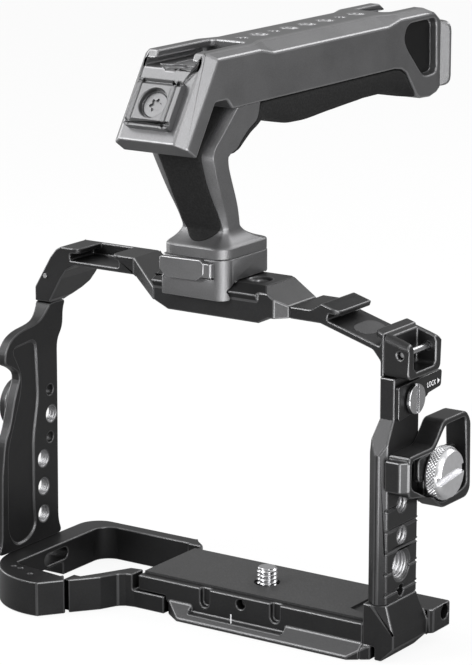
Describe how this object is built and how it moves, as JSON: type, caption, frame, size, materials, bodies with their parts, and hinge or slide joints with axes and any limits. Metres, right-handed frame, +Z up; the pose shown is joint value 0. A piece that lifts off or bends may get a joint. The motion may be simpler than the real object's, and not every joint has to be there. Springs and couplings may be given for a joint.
{
  "type": "camera cage with top handle",
  "caption": "Open metal frame that clamps round a camera, with accessory shoes, threaded holes, a cable clamp, a strap box and a quick-release top handle.",
  "frame": {"origin": "on the axis of the camera screw, at the lower face of the dovetail foot", "axes": "+X to the side of the cable clamp, -Y towards the lens side, +Z up along the camera screw"},
  "size_m": [0.1508, 0.1505, 0.1774],
  "materials": {
    "cage_coat": "bead-blasted, dark titanium-grey anodised, with cut facets left lighter",
    "handle_coat": "bead-blasted, mid-grey anodised, with lighter bevels",
    "plate_coat": "satin, dark grey anodised",
    "knob_metal": "turned, clear anodised, knurled rim",
    "bare_steel": "bright, fine turned marks",
    "black_steel": "black oxide",
    "black_rubber": "matt, fine grain",
    "black_plastic": "matt"
  },
  "bodies": {
    "cage": {"base_plate": "cage_coat", "base_pad": "black_rubber", "battery_ring": "cage_coat", "front_link": "cage_coat", "left_panel": "cage_coat", "left_arch": "cage_coat", "centre_block": "cage_coat", "right_arm": "cage_coat", "right_post": "cage_coat", "post_foot": "cage_coat", "strap_box": "cage_coat", "strap_pin": "bare_steel", "strap_socket": "cage_coat", "cage_screws": "bare_steel", "clip_frame": "cage_coat"},
    "camera_screw": {"camera_screw": "bare_steel"},
    "lock_slide": {"lock_slide": "cage_coat"},
    "lock_screw": {"lock_screw": "bare_steel"},
    "clip_knob": {"clip_knob": "knob_metal"},
    "clip_jaw": {"clip_jaw": "cage_coat"},
    "handle": {"handle_grip": "handle_coat", "rear_inserts": "black_plastic", "handle_neck": "handle_coat", "neck_pad": "black_rubber", "finger_pad": "black_rubber", "front_plate": "plate_coat", "front_plate_screw": "black_steel", "end_plate": "plate_coat", "end_plate_screws": "black_steel", "qr_body": "handle_coat", "qr_lever_pin": "bare_steel", "shoe_springs": "bare_steel"},
    "release_lever": {"qr_lever": "bare_steel"},
    "rail_jaw": {"qr_rear_jaw": "handle_coat"}
  },
  "joints": [
    {"name": "camera_screw_turn", "type": "hinge", "parent": "cage", "child": "camera_screw", "pos_m": [0, 0, 0.002], "axis": [0, 0, 1], "continuous": true},
    {"name": "lock_slide_travel", "type": "slide", "parent": "cage", "child": "lock_slide", "axis": [0, 1, 0], "range_m": [-0.0022, 0.002]},
    {"name": "lock_screw_turn", "type": "hinge", "parent": "cage", "child": "lock_screw", "pos_m": [0.0529, -0.0015, 0.07809], "axis": [1, 0, 0], "continuous": true},
    {"name": "clip_knob_turn", "type": "hinge", "parent": "cage", "child": "clip_knob", "pos_m": [0.0576, 0.00812, 0.05398], "axis": [1, 0, 0], "continuous": true},
    {"name": "clip_jaw_travel", "type": "slide", "parent": "cage", "child": "clip_jaw", "axis": [0, 0, 1], "range_m": [-0.003, 0.0014]},
    {"name": "handle_on_rail", "type": "slide", "parent": "cage", "child": "handle", "axis": [1, 0, 0], "range_m": [0, 0.028]},
    {"name": "release_lever_swing", "type": "hinge", "parent": "handle", "child": "release_lever", "pos_m": [-0.02396, -0.01572, 0.1114], "axis": [0, 0, -1], "range_deg": [0, 50]},
    {"name": "rail_jaw_travel", "type": "slide", "parent": "handle", "child": "rail_jaw", "axis": [0, 1, 0], "range_m": [0, 0.0016]}
  ],
  "couplings": [
    {"joint": "rail_jaw_travel", "follows": "release_lever_swing", "m_per_rad": 0.00182}
  ]
}
